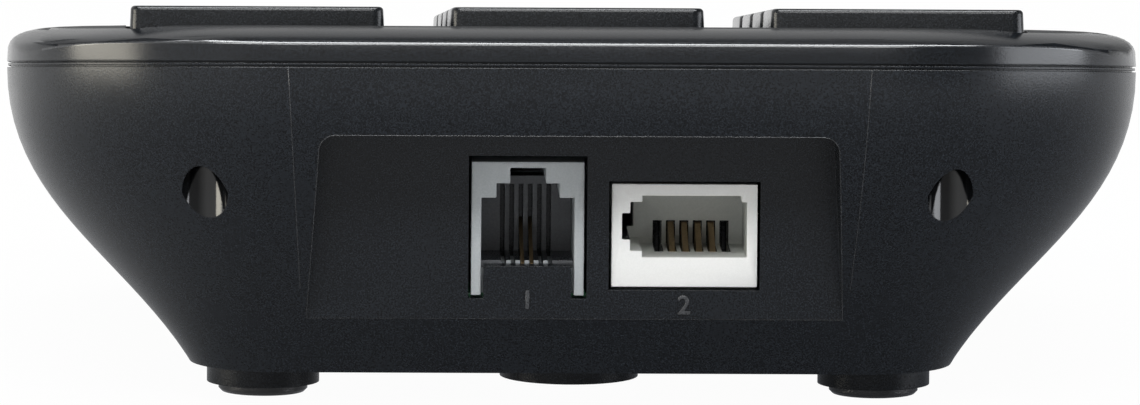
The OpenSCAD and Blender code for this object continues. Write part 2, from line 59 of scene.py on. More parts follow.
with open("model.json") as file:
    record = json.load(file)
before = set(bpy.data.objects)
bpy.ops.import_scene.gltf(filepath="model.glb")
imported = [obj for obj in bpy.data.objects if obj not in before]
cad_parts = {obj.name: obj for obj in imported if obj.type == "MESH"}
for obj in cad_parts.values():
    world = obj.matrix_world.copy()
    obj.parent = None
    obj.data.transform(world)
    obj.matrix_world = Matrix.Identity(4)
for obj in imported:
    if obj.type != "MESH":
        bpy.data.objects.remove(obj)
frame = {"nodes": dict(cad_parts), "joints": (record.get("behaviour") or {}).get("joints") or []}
cad_low, cad_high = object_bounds()
nodes = frame["nodes"]
print(f"{len(nodes)} solids, {(cad_high - cad_low).x / MM:.1f} mm wide")

# %% [markdown]
# ## The sloped deck
#
# The keys move square to the sloped top, so the direction of any key's joint also gives the slope.
# Turning that into a matrix once lets every later step work on a level deck and lean the result.
# The level deck has its origin in the middle of the seam between the two shells.

# %% Find the deck
CASE_WIDTH = (cad_high - cad_low).x
CASE_DEPTH = 125.0 * MM
SEAM_REAR_HEIGHT = 40.7 * MM
KEY_NAMES = [joint["child"] for joint in frame["joints"]]

press_axis = Vector(frame["joints"][0]["axis"])
slope = math.atan2(press_axis.y, -press_axis.z)
deck_origin = Vector((0, 0, SEAM_REAR_HEIGHT - CASE_DEPTH / 2 * math.sin(slope)))
to_world = Matrix.Translation(deck_origin) @ Matrix.Rotation(slope, 4, "X")
to_deck = to_world.inverted()


def deck_box(node):
    """Lowest and highest corner of a solid, measured on the level deck."""
    points = [to_deck @ vertex.co for vertex in nodes[node].data.vertices]
    low = Vector(min(p[axis] for p in points) for axis in range(3))
    high = Vector(max(p[axis] for p in points) for axis in range(3))
    return low, high


def middle_at(low, high, height):
    """The middle of a box seen from above, at a height."""
    return Vector(((low.x + high.x) / 2, (low.y + high.y) / 2, height))


print(f"the deck falls {math.degrees(slope):.1f} degrees to the front, with {len(KEY_NAMES)} keys")

# %% [markdown]
# ## Working like a modeller
#
# Operators act on whatever is selected, so each step starts from a clean selection. These helpers
# pick one object, open it for editing, apply a modifier and keep a finished piece in its place.

# %% Selection helpers
def deselect_all():
    if bpy.context.mode != "OBJECT":
        bpy.ops.object.mode_set(mode="OBJECT")
    bpy.ops.object.select_all(action="DESELECT")


def work_on(piece):
    deselect_all()
    piece.select_set(True)
    bpy.context.view_layer.objects.active = piece


def edit(piece, select="SELECT"):
    work_on(piece)
    bpy.ops.object.mode_set(mode="EDIT")
    bpy.ops.mesh.select_all(action=select)


def unmark(mesh):
    for element in [*mesh.vertices, *mesh.edges, *mesh.polygons]:
        element.select = False


def edit_marked(piece, kind):
    """Opens a piece for editing, with the elements selected that code has marked."""
    work_on(piece)
    bpy.ops.object.mode_set(mode="EDIT")
    bpy.ops.mesh.select_mode(type=kind)


# %% Helpers that finish a piece
def apply_modifier(piece, kind, **settings):
    work_on(piece)
    modifier = piece.modifiers.new(kind.title(), kind)
    for name, value in settings.items():
        setattr(modifier, name, value)
    bpy.ops.object.modifier_apply(modifier=modifier.name)


def combine(piece, other, operation):
    """Boolean with another piece, which is used up."""
    apply_modifier(piece, "BOOLEAN", object=other, operation=operation, solver="EXACT")
    bpy.data.objects.remove(other)


def settle(piece, matrix):
    """Puts a piece in its place, and that place into its mesh."""
    piece.matrix_world = matrix
    work_on(piece)
    bpy.ops.object.transform_apply(location=True, rotation=True, scale=True)


def dress(piece, *materials):
    piece.data.materials.clear()
    for material in materials:
        piece.data.materials.append(material)


# %% [markdown]
# ## The camera
#
# The photograph looks at the rear from about 1.4 m, a little above and a little to one side, through a
# long lens. The camera is aimed instead of shifted, so that other views stay honest.

# %% Place the camera
CAMERA_PLACE = Vector((43.0, 1432.0, 208.5)) * MM
CAMERA_YAW = math.radians(1.756)
CAMERA_PITCH = math.radians(7.601)
CAMERA_ROLL = math.radians(0.49)
SENSOR_WIDTH = 36.0
FOCAL_IN_FRAME_WIDTHS = 11.174
FURTHEST_SEEN = 20.0

camera_data = bpy.data.cameras.new("photo_camera")
camera_data.sensor_width = SENSOR_WIDTH
camera_data.lens = SENSOR_WIDTH * FOCAL_IN_FRAME_WIDTHS
camera_data.clip_end = FURTHEST_SEEN
camera = bpy.data.objects.new("photo_camera", camera_data)
bpy.context.scene.collection.objects.link(camera)
bpy.context.scene.camera = camera

ahead = Vector((
    -math.sin(CAMERA_YAW) * math.cos(CAMERA_PITCH),
    -math.cos(CAMERA_YAW) * math.cos(CAMERA_PITCH),
    -math.sin(CAMERA_PITCH),
))
right = ahead.cross(Vector((0, 0, 1))).normalized()
up = right.cross(ahead)
rolled_right = right * math.cos(CAMERA_ROLL) + up * math.sin(CAMERA_ROLL)
rolled_up = up * math.cos(CAMERA_ROLL) - right * math.sin(CAMERA_ROLL)
turn = Matrix((rolled_right, rolled_up, -ahead)).transposed()
camera.matrix_world = Matrix.Translation(CAMERA_PLACE) @ turn.to_4x4()
print(f"camera {CAMERA_PLACE.length:.2f} m away, lens {camera_data.lens:.0f} mm")

# %% [markdown]
# ## Shader maths in Python
#
# A material is a graph of nodes. The Wire class wraps one output socket, so that an ordinary
# expression such as `1 - grain * 0.2` adds the Math nodes it needs. Any other node comes from `add`.

# %% Wires
class Wire:
    def __init__(self, finish, socket):
        self.finish = finish
        self.socket = socket

    def maths(self, operation, first, second):
        return self.finish.add("ShaderNodeMath", {"operation": operation}, {0: first, 1: second})

    def __add__(self, other):
        return self.maths("ADD", self, other)

    def __mul__(self, other):
        return self.maths("MULTIPLY", self, other)

    def __sub__(self, other):
        return self.maths("SUBTRACT", self, other)

    def __rsub__(self, other):
        return self.maths("SUBTRACT", other, self)

    __radd__ = __add__
    __rmul__ = __mul__


# %% Graphs
# A Mix node's colour sockets share their names with its number sockets, so they go by number
MIX_FIRST = 6
MIX_SECOND = 7
MIX_RESULT = 2


class Graph:
    """A node graph that grows by `add`."""

    def __init__(self, tree):
        self.tree = tree

    def add(self, kind, settings=None, inputs=None, out=0):
        node = self.tree.nodes.new(kind)
        for name, value in (settings or {}).items():
            setattr(node, name, value)
        self.feed(node, inputs or {})
        return Wire(self, node.outputs[out])

    def feed(self, node, inputs):
        for name, value in inputs.items():
            if isinstance(value, Wire):
                self.tree.links.new(value.socket, node.inputs[name])
            else:
                node.inputs[name].default_value = value

    def ramp(self, value, start, end, low=0.0, high=1.0):
        """Goes from low to high while a value goes from start to end."""
        reach = {"Value": value, "From Min": start, "From Max": end, "To Min": low, "To Max": high}
        return self.add("ShaderNodeMapRange", None, reach)

    def mix(self, amount, first, second):
        mixed = {"Factor": amount, MIX_FIRST: first, MIX_SECOND: second}
        return self.add("ShaderNodeMix", {"data_type": "RGBA"}, mixed, out=MIX_RESULT)


# %% Finishes
EDGE_SAMPLES = 6


class Finish(Graph):
    """One material's node graph, ending in a Principled shader."""

    def __init__(self, name):
        self.material = bpy.data.materials.new(name)
        self.material.use_nodes = True
        super().__init__(self.material.node_tree)
        self.shader = self.tree.nodes["Principled BSDF"]
        self.place = self.add("ShaderNodeTexCoord", out="Object")

    def noise(self, size, detail=2.0):
        """Noise whose features are about `size` metres across."""
        pattern = {"Vector": self.place, "Scale": 1 / size, "Detail": detail}
        return self.add("ShaderNodeTexNoise", None, pattern)

    def tint(self, amount, first, second):
        return self.mix(amount, (*first, 1), (*second, 1))

    def rounded_bump(self, height, distance, edge):
        """A bump on a normal that is softened near edges, as moulded edges are."""
        soft = self.add("ShaderNodeBevel", {"samples": EDGE_SAMPLES}, {"Radius": edge})
        bump = {"Height": height, "Distance": distance, "Normal": soft}
        return self.add("ShaderNodeBump", None, bump)

    def set(self, inputs):
        self.feed(self.shader, inputs)


# %% [markdown]
# ## Moulded plastic
#
# The case is black plastic from a spark-eroded mould: a fine grain that scatters the light, slightly uneven
# gloss, and a faint blue cast. One flat black would look painted, so noise in the object's own coordinates,
# which has no seams, gives the grain: specks of two blacks and a bump of about a hundredth of a millimetre.
# A slower noise changes the gloss where the mould is worn. The flat top is duller than the walls, so that it
# doesn't mirror the lamp above it. The crease and the screw wells are smoother, and the crease is also a
# lighter black, which is a painted highlight.

# %% A recipe for plastics
GRAIN_SIZE = 0.19 * MM
CLOUD_SIZE = 9.0 * MM
CLOUD_DETAIL = 3.0
NOISE_MIDDLE = 0.5
SPECK_CONTRAST = 3.4
SPECK_MIDDLE = 0.45
SPECK_SHARE = 0.8
CLOUD_SHARE = 0.2
EDGE_ROUND = 0.2 * MM


def moulded(name, dark, light, gloss, gloss_range, grain_depth, mirror, edge=EDGE_ROUND):
    """Two colours, roughness and its range, depth of the grain in mm, mirror level, rounding of edges."""
    finish = Finish(name)
    grain = finish.noise(GRAIN_SIZE)
    cloud = finish.noise(CLOUD_SIZE, CLOUD_DETAIL)
    specks = (grain - NOISE_MIDDLE) * SPECK_CONTRAST + SPECK_MIDDLE
    finish.set({
        "Base Color": finish.tint(specks * SPECK_SHARE + cloud * CLOUD_SHARE, dark, light),
        "Roughness": gloss + (cloud - NOISE_MIDDLE) * gloss_range + (grain - NOISE_MIDDLE) * gloss_range,
        "Normal": finish.rounded_bump(grain, grain_depth * MM, edge),
        "Specular IOR Level": mirror,
    })
    return finish.material


# %% Blacks of the case and keys
CASE_ROUND = 0.12 * MM
CASE_PLASTIC = moulded(
    "case_plastic", (0.0003, 0.0005, 0.001), (0.0115, 0.0145, 0.019), 0.27, 0.1, 0.014, 0.34, CASE_ROUND)
COVER_PLASTIC = moulded(
    "cover_plastic", (0.0003, 0.0005, 0.001), (0.008, 0.0105, 0.014), 0.2, 0.08, 0.012, 0.4)
WELL_PLASTIC = moulded(
    "well_plastic", (0.001, 0.0012, 0.0015), (0.003, 0.0034, 0.004), 0.1, 0.03, 0.002, 0.5)
# A paler black for the marks and the hairline beads, a painted highlight.
MARK_PAINTED_HIGHLIGHT = moulded(
    "mark_painted_highlight", (0.02, 0.021, 0.023), (0.05, 0.052, 0.056), 0.2, 0.06, 0.004, 0.8)
KEY_PLASTIC = moulded(
    "key_plastic", (0.001, 0.0015, 0.002), (0.01, 0.012, 0.015), 0.22, 0.08, 0.012, 0.3)
DECK_PLASTIC = moulded(
    "deck_plastic", (0.003, 0.0035, 0.004), (0.013, 0.015, 0.018), 0.46, 0.1, 0.02, 0.2)
# The crease's low roughness is its real gloss; its lighter black is a painted highlight.
CREASE_PAINTED_HIGHLIGHT = moulded(
    "crease_painted_highlight", (0.015, 0.016, 0.018), (0.035, 0.037, 0.041), 0.15, 0.04, 0.002, 0.68)
print(f"seven blacks with a grain {GRAIN_SIZE / MM:.2f} mm across")

# %% Plastics of the jacks and the inside
INSERT_ROUND = 0.05 * MM
JACK_ROUND = 0.1 * MM
INSERT_PLASTIC = moulded(
    "insert_plastic", (0.09, 0.093, 0.1), (0.12, 0.124, 0.132), 0.45, 0.1, 0.01, 0.4, INSERT_ROUND)
JACK_PLASTIC = moulded(
    "jack_plastic", (0.36, 0.385, 0.395), (0.41, 0.43, 0.44), 0.38, 0.1, 0.008, 0.5, JACK_ROUND)
SOCKET_PLASTIC = moulded(
    "socket_plastic", (0.755, 0.755, 0.74), (0.785, 0.785, 0.77), 0.36, 0.1, 0.006, 0.5, JACK_ROUND)
# Painted shade: the socket's inside is a darker grey than its front.
SOCKET_PAINTED_SHADE = moulded(
    "socket_painted_shade", (0.5, 0.51, 0.48), (0.54, 0.55, 0.52), 0.45, 0.1, 0.006, 0.4, JACK_ROUND)
RIBBON_PLASTIC = moulded("ribbon_plastic", (0.4, 0.4, 0.42), (0.48, 0.48, 0.5), 0.5, 0.1, 0.01, 0.4)
BOARD_MASK = moulded("board_mask", (0.02, 0.12, 0.05), (0.04, 0.2, 0.09), 0.35, 0.1, 0.004, 0.5)
PRINT_WHITE = moulded("print_white", (0.72, 0.72, 0.7), (0.8, 0.8, 0.78), 0.5, 0.08, 0.004, 0.4)
FOOT_RUBBER = moulded(
    "foot_rubber", (0.006, 0.006, 0.007), (0.022, 0.022, 0.023), 0.24, 0.12, 0.02, 0.8)
MAT_RUBBER = moulded("mat_rubber", (0.45, 0.45, 0.42), (0.52, 0.52, 0.5), 0.6, 0.1, 0.02, 0.3)
print("jacks, boards, print and rubber mixed")

# %% [markdown]
# ## Metal
#
# The contacts are brass under thin, tarnished plating and the screws are zinc-plated steel. One colour
# and one gloss would look like a mirror, so a fine noise makes both uneven.

# %% Metals
STREAK_SIZE = 0.3 * MM
STREAK_DETAIL = 4.0
STREAK_GLOSS = 0.2
STREAK_DEPTH = 0.004 * MM
METAL_ROUND = 0.05 * MM


def plated(name, dark, light, gloss):
    finish = Finish(name)
    streak = finish.noise(STREAK_SIZE, STREAK_DETAIL)
    finish.set({
        "Base Color": finish.tint(streak, dark, light),
        "Roughness": gloss + (streak - NOISE_MIDDLE) * STREAK_GLOSS,
        "Normal": finish.rounded_bump(streak, STREAK_DEPTH, METAL_ROUND),
        "Metallic": 1.0,
    })
    return finish.material


CONTACT_BRASS = plated("contact_brass", (0.22, 0.15, 0.075), (0.42, 0.3, 0.17), 0.4)
SCREW_STEEL = plated("screw_steel", (0.45, 0.45, 0.46), (0.65, 0.65, 0.66), 0.32)
print(f"brass and steel, with streaks {STREAK_SIZE / MM:.1f} mm across")

# %% [markdown]
# ## Solids that keep their shape
#
# Contacts, boards, screws, the chip and the flat cable are right as they were measured. Most of them are
# closed up in the case, so they only take a finish.

# %% Dress these solids
SOLID_FINISH = {
    "line_contacts": CONTACT_BRASS, "tel_contacts": CONTACT_BRASS,
    "key_board": BOARD_MASK, "jack_board": BOARD_MASK,
    "controller_chip": INSERT_PLASTIC, "board_screws": SCREW_STEEL, "jack_board_screws": SCREW_STEEL,
    "case_screws": SCREW_STEEL, "link_ribbon": RIBBON_PLASTIC,
}
for name, material in SOLID_FINISH.items():
    dress(nodes[name], material)
print(f"{len(SOLID_FINISH)} solids dressed")

# %% [markdown]
# ## Welded copies
#
# The solids arrive as loose flat triangles, each with stored normals. A piece that needs smooth shading or
# rounded edges is a copy: its stored normals are cleared, because they would be read wrongly once the
# triangles share points, and the points are welded. The copy is attached to the solid's body, and the solid
# is hidden. The copy stands for the solid, which stays in the physics.

# %% Copy and weld
WELD = 0.001 * MM
SMOOTH_ANGLE = math.radians(32)


def welded_copy(node, name):
    piece = bpy.data.objects.new(name, nodes[node].data.copy())
    bpy.context.scene.collection.objects.link(piece)
    work_on(piece)
    bpy.ops.mesh.customdata_custom_splitnormals_clear()
    edit(piece)
    bpy.ops.mesh.remove_doubles(threshold=WELD)
    bpy.ops.object.mode_set(mode="OBJECT")
    return piece


def stand_for(piece, node, body):
    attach(piece, body)
    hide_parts(node)


def shade(piece, angle=SMOOTH_ANGLE):
    work_on(piece)
    bpy.ops.object.shade_smooth_by_angle(angle=angle)


# %% [markdown]
# ## The lower shell
#
# Its wall is swept round the case: upright at the seam, then drawn in to the underside along one
# smooth curve. Triangles that meet a cut edge would shade unevenly, so each corner on the outer wall
# takes its normal from the curve itself. The screw wells are polished by the mould's pins.

# %% The wall's curve
CORNER_RADIUS = 30.0 * MM
WALL_POINTS = [Vector(p) * MM for p in ((0, 0), (0, 16.0), (15.2, 21.7), (22.0, 35.2))]
HALVINGS = 20


def corner_reach(p):
    """How far a place lies past the centre of the nearest corner's arc, in x and in y."""
    x = abs(p.x) - CASE_WIDTH / 2 + CORNER_RADIUS
    y = abs(p.y) - CASE_DEPTH / 2 + CORNER_RADIUS
    return Vector((x, y))


def wall_point(t):
    """Inset and depth on the wall curve, and the direction of the curve there."""
    a, b, c, d = WALL_POINTS
    s = 1 - t
    place = a * s ** 3 + b * 3 * t * s ** 2 + c * 3 * t ** 2 * s + d * t ** 3
    direction = (b - a) * 3 * s ** 2 + (c - b) * 6 * t * s + (d - c) * 3 * t ** 2
    return place, direction


def wall_at_depth(depth):
    low, high = 0.0, 1.0
    for _ in range(HALVINGS):
        middle = (low + high) / 2
        if wall_point(middle)[0].y < depth:
            low = middle
        else:
            high = middle
    return wall_point((low + high) / 2)


# %% The wall's normals
SEAM_DEPTH = 0.45 * MM
WALL_MATCH = 0.08 * MM
NORMAL_MATCH = math.cos(math.radians(9))


def wall_normal(point):
    """The outer wall's normal near a point of the case, or nothing where the point is off the wall."""
    p = to_deck @ point
    depth = -p.z - SEAM_DEPTH
    if depth < -WALL_MATCH:
        return None
    reach = corner_reach(p)
    if reach.x > 0 and reach.y > 0:
        outward, radius = reach.normalized(), reach.length
    else:
        outward, radius = (Vector((1, 0)), reach.x) if reach.x > reach.y else (Vector((0, 1)), reach.y)
    place, direction = wall_at_depth(max(depth, 0))
    if depth < WALL_POINTS[-1].y and abs(CORNER_RADIUS - radius - place.x) > WALL_MATCH:
        return None
    flat = outward * direction.y
    normal = Vector((math.copysign(flat.x, p.x), math.copysign(flat.y, p.y), -direction.x)).normalized()
    return to_world.to_3x3() @ normal


def smooth_wall(piece):
    """Gives the outer wall's corners the curve's normals, and counts its faces."""
    mesh = piece.data
    normals = [corner.vector.copy() for corner in mesh.corner_normals]
    wall_faces = 0
    for face in mesh.polygons:
        found = [wall_normal(mesh.vertices[v].co) for v in face.vertices]
        if None in found or min(face.normal.dot(n) for n in found) < NORMAL_MATCH:
            continue
        wall_faces += 1
        for loop, normal in zip(face.loop_indices, found):
            normals[loop] = normal
    mesh.normals_split_custom_set(normals)
    return wall_faces


lower_skin = welded_copy("lower_shell", "lower_shell_skin")
shade(lower_skin)
wall_faces = smooth_wall(lower_skin)
dress(lower_skin, CASE_PLASTIC, WELL_PLASTIC)
stand_for(lower_skin, "lower_shell", "case")
print(f"lower shell: {len(lower_skin.data.polygons)} faces, {wall_faces} on the outer wall")

# %% Polish the screw wells
HEAD_RADIUS = 1.75 * MM
WELL_REACH = 2.75 * MM
UPRIGHT = 0.1
POLISHED = 1
_, screw_high = deck_box("case_screws")
well_x = screw_high.x - HEAD_RADIUS
well_y = screw_high.y - HEAD_RADIUS
polished_faces = 0
for face in lower_skin.data.polygons:
    p = to_deck @ face.center
    off_axis = Vector((abs(p.x) - well_x, abs(p.y) - well_y)).length
    if off_axis < WELL_REACH and abs(face.normal.dot(press_axis)) < UPRIGHT:
        face.material_index = POLISHED
        polished_faces += 1
print(f"{polished_faces} faces polished in the screw wells")

# %% [markdown]
# ## The top cover
#
# The cover has an upright rim, a crease, and a shoulder that turns into the flat deck. On the real
# part the crease is a small glossy round that draws a bright line. A bevel in edit mode gives one width
# everywhere, and round the corners, where the shoulder leaves less room, its faces would cross. The
# crease's edges are therefore found by their place and weighted, and a Bevel modifier rounds each by
# its weight. The shoulder's fine rings beside the crease are joined first, to make room.

# %% Places on the cover
DECK_MATCH = 0.985


def outline_place(p):
    """Inset from the case's outline, and the angle round the corner: 90 degrees at the rear and front."""
    reach = corner_reach(p)
    if reach.x > 0 and reach.y > 0:
        return CORNER_RADIUS - reach.length, math.atan2(reach.y, reach.x)
    return CORNER_RADIUS - max(reach), math.pi / 2 if reach.y > reach.x else 0.0


def faces_up(face):
    """True on the flat deck and on the tops of the keys."""
    return -face.normal.dot(press_axis) > DECK_MATCH


def select_edges(piece, wanted):
    """Selects the edges whose two ends, as places on the level deck, are wanted."""
    deselect_all()
    mesh = piece.data
    places = [to_deck @ vertex.co for vertex in mesh.vertices]
    found = [edge for edge in mesh.edges if wanted(*(places[v] for v in edge.vertices))]
    unmark(mesh)
    for edge in found:
        edge.select = True
    edit_marked(piece, "EDGE")
    return len(found)


# %% Join the fine rings
NEAR_OUTLINE = 0.02 * MM
RIM_BASE = 0.3 * MM
CREASE_ZONE = 1.1 * MM
CREASE_TURN = math.radians(25)
COVER_FLAT = math.radians(0.1)


def fine_ring_edge(a, b):
    (inset_a, turn_a), (inset_b, turn_b) = outline_place(a), outline_place(b)
    in_zone = NEAR_OUTLINE < min(inset_a, inset_b) and max(inset_a, inset_b) < CREASE_ZONE
    along = abs(inset_a - inset_b) < NEAR_OUTLINE and min(turn_a, turn_b) > CREASE_TURN
    return in_zone and along and a.z > RIM_BASE


cover_top = welded_copy("top_cover", "top_cover_skin")
edit(cover_top)
bpy.ops.mesh.dissolve_limited(angle_limit=COVER_FLAT)
fine_edges = select_edges(cover_top, fine_ring_edge)
bpy.ops.mesh.dissolve_edges(use_verts=True)
bpy.ops.object.mode_set(mode="OBJECT")
print(f"top cover: {fine_edges} fine edges joined")

# %% Weight the crease's edges
CREASE_WIDE = math.radians(89)
CREASE_NARROW = math.radians(66)
NARROW_SHARE = 0.2


def crease_edge(a, b):
    (inset_a, turn_a), (inset_b, turn_b) = outline_place(a), outline_place(b)
    on_line = max(abs(inset_a), abs(inset_b)) < NEAR_OUTLINE and min(a.z, b.z) > RIM_BASE
    return on_line and min(turn_a, turn_b) > CREASE_TURN


def crease_share(turn):
    """Share of the full width: the round narrows where the corner's shoulder leaves it less room."""
    part = (turn - CREASE_NARROW) / (CREASE_WIDE - CREASE_NARROW)
    return NARROW_SHARE + (1 - NARROW_SHARE) * min(max(part, 0), 1)


places = [to_deck @ vertex.co for vertex in cover_top.data.vertices]
weights = cover_top.data.attributes.new("bevel_weight_edge", "FLOAT", "EDGE")
crease_edges = 0
for edge in cover_top.data.edges:
    ends = [places[v] for v in edge.vertices]
    if crease_edge(*ends):
        weights.data[edge.index].value = crease_share(min(outline_place(end)[1] for end in ends))
        crease_edges += 1
print(f"{crease_edges} crease edges weighted")

# %% Round the crease and dull the deck
CREASE_WIDTH = 0.55 * MM
CREASE_STEPS = 4
DULL = 1
CREASE_HIGHLIGHT_SLOT = 2
# The crease's round takes the lighter black, a painted highlight.
dress(cover_top, COVER_PLASTIC, DECK_PLASTIC, CREASE_PAINTED_HIGHLIGHT)
apply_modifier(cover_top, "BEVEL", width=CREASE_WIDTH, segments=CREASE_STEPS, limit_method="WEIGHT",
               use_clamp_overlap=False, material=CREASE_HIGHLIGHT_SLOT)
shade(cover_top)
for face in cover_top.data.polygons:
    if faces_up(face):
        face.material_index = DULL
stand_for(cover_top, "top_cover", "case")
print(f"top cover: {len(cover_top.data.polygons)} faces")

# %% [markdown]
# ## The jacks
#
# The grey line jack and the white socket are blocks with stepped openings. Welded copies, with flat
# stretches joined into single faces, take a small bevel, so that their edges catch the light.

# %% Bevel the jacks
JACK_EDGE = 0.12 * MM
JACK_STEPS = 2
FLAT_ANGLE = math.radians(0.5)


def bevelled_copy(node, name, material):
    piece = welded_copy(node, name)
    edit(piece)
    bpy.ops.mesh.dissolve_limited(angle_limit=FLAT_ANGLE)
    apply_modifier(piece, "BEVEL", width=JACK_EDGE, segments=JACK_STEPS, limit_method="ANGLE")
    shade(piece)
    dress(piece, material)
    stand_for(piece, node, "case")
    print(f"{name}: {len(piece.data.polygons)} faces")
    return piece


bevelled_copy("line_jack", "line_jack_body", JACK_PLASTIC)
tel_socket = bevelled_copy("tel_socket", "extension_socket_body", SOCKET_PLASTIC)

# %% [markdown]
# ## The socket's inside
#
# Behind its polished front the white socket is duller, because a plain core moulded it, and a darker grey,
# which is painted shade. The contact slots and the latch's groove take the case's black, a painted shade for
# the dark behind them. The solid is closed there, so its faces are picked by their place.

# %% Places inside the socket
SOCKET_DEPTH = 11.0 * MM
SLOT_END = 13.6 * MM
SLOT_SIDE = 5.0 * MM
SLOT_RUN = 6.3 * MM
OPENING_X = -1.1 * MM
OPENING_DROP = 8.1 * MM
LATCH_DROP = 4.7 * MM
LATCH_HALF = 1.6 * MM
LATCH_INSET = 2.2 * MM
socket_low, socket_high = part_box("tel_socket")
opening_x = (socket_low.x + socket_high.x) / 2 + OPENING_X


def in_painted_shade(place):
    """True inside the contact slots and the groove beside the latch, where shade is painted."""
    behind = socket_high.y - place.y
    below = socket_high.z - place.z
    in_slots = abs(place.x - opening_x) < SLOT_SIDE
    back_slot = in_slots and SOCKET_DEPTH + WELD < behind < SLOT_END
    under_floor = in_slots and OPENING_DROP + WELD < below
    floor_slot = under_floor and SOCKET_DEPTH - SLOT_RUN < behind < SOCKET_DEPTH
    groove = place.x > socket_high.x - LATCH_INSET and abs(below - LATCH_DROP) < LATCH_HALF
    return back_slot or floor_slot or groove


# %% Paint shade inside the socket
FRONT_EDGE = 0.3 * MM
INSIDE_PAINTED_SHADE = 1
SLOT_PAINTED_SHADE = 2
dress(tel_socket, SOCKET_PLASTIC, SOCKET_PAINTED_SHADE, CASE_PLASTIC)
inside_faces = [face for face in tel_socket.data.polygons if face.center.y < socket_high.y - FRONT_EDGE]
for face in inside_faces:
    face.material_index = SLOT_PAINTED_SHADE if in_painted_shade(face.center) else INSIDE_PAINTED_SHADE
print(f"{len(inside_faces)} faces inside the socket")

# %% [markdown]
# ## The line jack's insert
#
# The black insert's slotted floor ends in five small teeth under the opening. Their tips take the line
# jack's pale grey, a painted highlight. The slots between the comb's ribs and the faces that look up lie in
# deep shade, and take the case's darker black, a painted shade.

# %% Painted highlight on the teeth, painted shade in the slots
TEETH_REACH = 2.6 * MM
COMB_FRONT = 3.0 * MM
COMB_REACH = 3.0 * MM
STEEP = 0.5
LEVEL = 0.9
TIP_PAINTED_HIGHLIGHT = 1
DARK = 2
insert = welded_copy("line_contact_block", "line_insert")
insert_low, insert_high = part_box("line_contact_block")
insert_x = (insert_low.x + insert_high.x) / 2
dress(insert, INSERT_PLASTIC, JACK_PLASTIC, CASE_PLASTIC)
teeth = 0
for face in insert.data.polygons:
    off_middle = abs(face.center.x - insert_x)
    # The teeth's tips take the jack's pale grey, a painted highlight.
    if face.center.y > insert_high.y - WELD and off_middle < TEETH_REACH:
        face.material_index = TIP_PAINTED_HIGHLIGHT
        teeth += 1
    # The slots and the faces that look up take the case's black, a painted shade.
    in_comb = face.center.y < insert_low.y + COMB_FRONT - WELD and off_middle < COMB_REACH
    in_slot = in_comb and face.center.y > insert_low.y + WELD and abs(face.normal.z) < STEEP
    if in_slot or face.normal.z > LEVEL:
        face.material_index = DARK
stand_for(insert, "line_contact_block", "case")
print(f"{teeth} triangles on the teeth's tips")

# %% [markdown]
# ## The feet
#
# Each rubber foot is a disc in a moulded collar. The solid has its shape, so a welded copy with smooth
# shading is enough.

# %% Smooth the feet
FOOT_NAMES = [name for name in nodes if name.endswith("_foot")]
for node in FOOT_NAMES:
    foot = welded_copy(node, node + "_rubber")
    shade(foot)
    dress(foot, FOOT_RUBBER)
    stand_for(foot, node, "case")
print(f"{len(FOOT_NAMES)} feet")

# %% [markdown]
# ## The keys
#
# A key is a hollow cap with a flange that keeps it under the cover. It could be one box with a bevel;
# here it starts as a flat outline with round corners, rises with a little draft, turns over a soft
# edge and ends in a shallow dish for the fingertip. One key is modelled and copied to every place.

# %% Slabs with round corners
SLAB_STEPS = 6


def select_top(piece):
    """Leaves only the highest face selected, in edit mode."""
    bpy.ops.object.mode_set(mode="OBJECT")
    highest = max(piece.data.polygons, key=lambda face: face.center.z)
    unmark(piece.data)
    highest.select = True
    edit_marked(piece, "FACE")


def rounded_slab(name, width, depth, corner, low, high):
    deselect_all()
    bpy.ops.mesh.primitive_plane_add(size=1, location=(0, 0, 0))
    slab = bpy.context.object
    slab.name = name
    edit(slab)
    bpy.ops.transform.resize(value=(width, depth, 1))
    bpy.ops.transform.translate(value=(0, 0, low))
    bpy.ops.mesh.bevel(offset=corner, segments=SLAB_STEPS, affect="VERTICES")
    bpy.ops.mesh.extrude_region_move(TRANSFORM_OT_translate={"value": (0, 0, high - low)})
    bpy.ops.mesh.select_all(action="SELECT")
    bpy.ops.mesh.normals_make_consistent(inside=False)
    select_top(slab)
    return slab


# %% The cap of a key
FLANGE_WIDTH = 1.0 * MM
KEY_CORNER = 1.3 * MM
KEY_EDGE = 0.45 * MM
KEY_DRAFT = 0.2 * MM
EDGE_STEPS = 4
DISH_STEPS = ((1.2 * MM, -0.03 * MM), (1.6 * MM, -0.07 * MM), (2.0 * MM, -0.05 * MM))

key_low, key_high = deck_box(KEY_NAMES[0])
flange_size = key_high - key_low
cap_width = flange_size.x - 2 * FLANGE_WIDTH
cap_depth = flange_size.y - 2 * FLANGE_WIDTH


def model_cap():
    cap = rounded_slab("key_pattern", cap_width, cap_depth, KEY_CORNER, key_low.z, key_high.z - KEY_EDGE)
    shrink = (1 - 2 * KEY_DRAFT / cap_width, 1 - 2 * KEY_DRAFT / cap_depth, 1)
    bpy.ops.transform.resize(value=shrink)
    for step in range(EDGE_STEPS):
        a0, a1 = (math.radians(90 * (step + i) / EDGE_STEPS) for i in (0, 1))
        inward = KEY_EDGE * (math.cos(a0) - math.cos(a1))
        upward = KEY_EDGE * (math.sin(a1) - math.sin(a0))
        bpy.ops.mesh.inset(thickness=inward, depth=upward)
    width, depth = (size - 2 * (KEY_DRAFT + KEY_EDGE) for size in (cap_width, cap_depth))
    for inward, downward in DISH_STEPS:
        bpy.ops.mesh.extrude_region_move(TRANSFORM_OT_translate={"value": (0, 0, downward)})
        bpy.ops.transform.resize(value=(1 - 2 * inward / width, 1 - 2 * inward / depth, 1))
        width, depth = width - 2 * inward, depth - 2 * inward
    return cap


pattern = model_cap()
print(f"one cap: {cap_width / MM:.1f} by {cap_depth / MM:.1f} mm")

